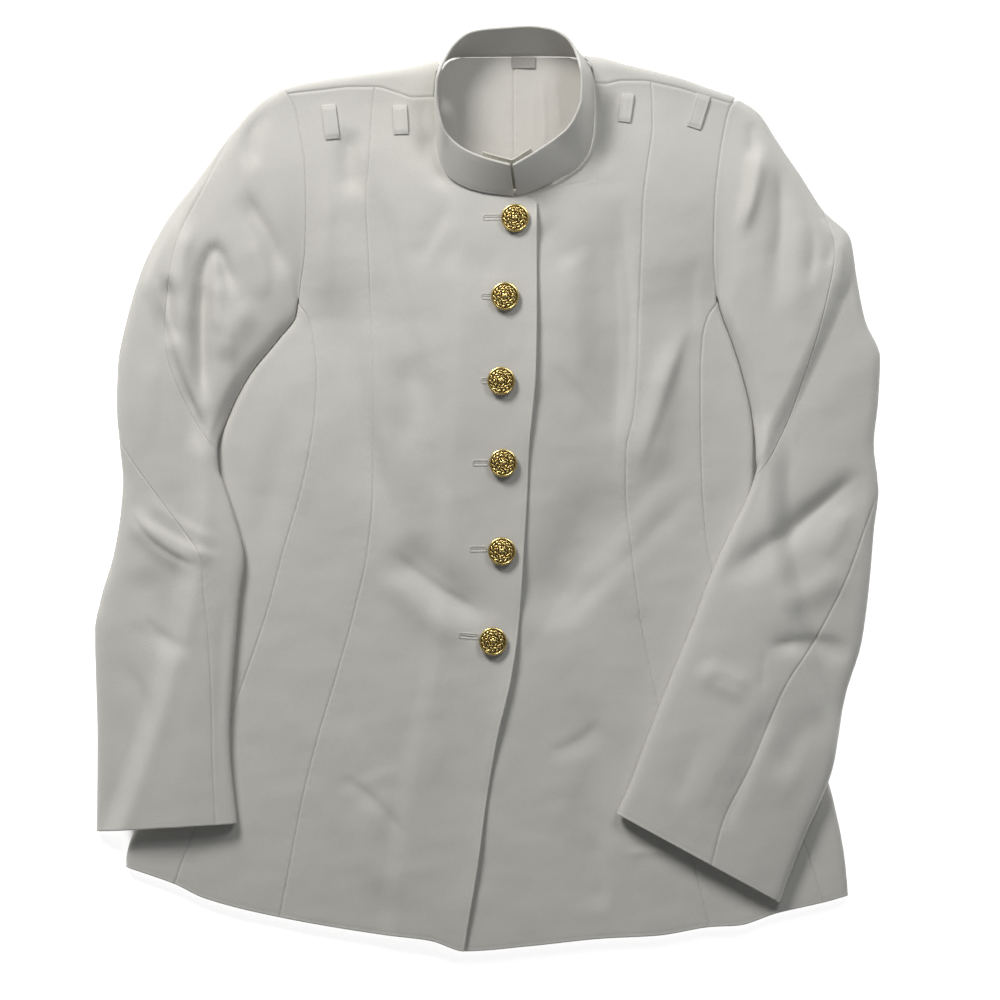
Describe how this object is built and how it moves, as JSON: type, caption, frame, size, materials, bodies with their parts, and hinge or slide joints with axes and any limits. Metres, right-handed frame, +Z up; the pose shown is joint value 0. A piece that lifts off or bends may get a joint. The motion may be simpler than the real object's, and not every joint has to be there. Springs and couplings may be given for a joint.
{
  "type": "naval dress tunic",
  "caption": "White dress tunic laid flat on its back, with a stand collar, princess seams, two-piece sleeves folded at the elbow and domed gilt buttons down the front.",
  "frame": {"origin": "on the surface the tunic lies on, below the centre of its bounding box", "axes": "+Y runs from the hem towards the collar, +X towards the wearer's left, +Z up out of the front"},
  "size_m": [0.6296, 0.7411, 0.0566],
  "materials": {
    "white_twill": "matt twill",
    "white_satin": "soft satin",
    "gilt_brass": "polished gilt"
  },
  "bodies": {
    "root": {"back_left": "white_twill", "back_right": "white_twill", "collar": "white_twill", "collar_underlap": "white_twill", "front_centre_left": "white_twill", "front_centre_right": "white_twill", "front_side_left": "white_twill", "front_side_right": "white_twill", "shoulder_loop_inner_left": "white_twill", "shoulder_loop_inner_right": "white_twill", "shoulder_loop_outer_left": "white_twill", "shoulder_loop_outer_right": "white_twill", "under_sleeve_left": "white_twill", "under_sleeve_right": "white_twill", "underarm_left": "white_twill", "underarm_right": "white_twill", "upper_sleeve_left": "white_twill", "upper_sleeve_right": "white_twill", "hanger_loop": "white_satin", "neck_lining_left": "white_satin", "neck_lining_right": "white_satin", "button_1": "gilt_brass", "button_2": "gilt_brass", "button_3": "gilt_brass", "button_4": "gilt_brass", "button_5": "gilt_brass", "button_6": "gilt_brass"}
  },
  "joints": []
}
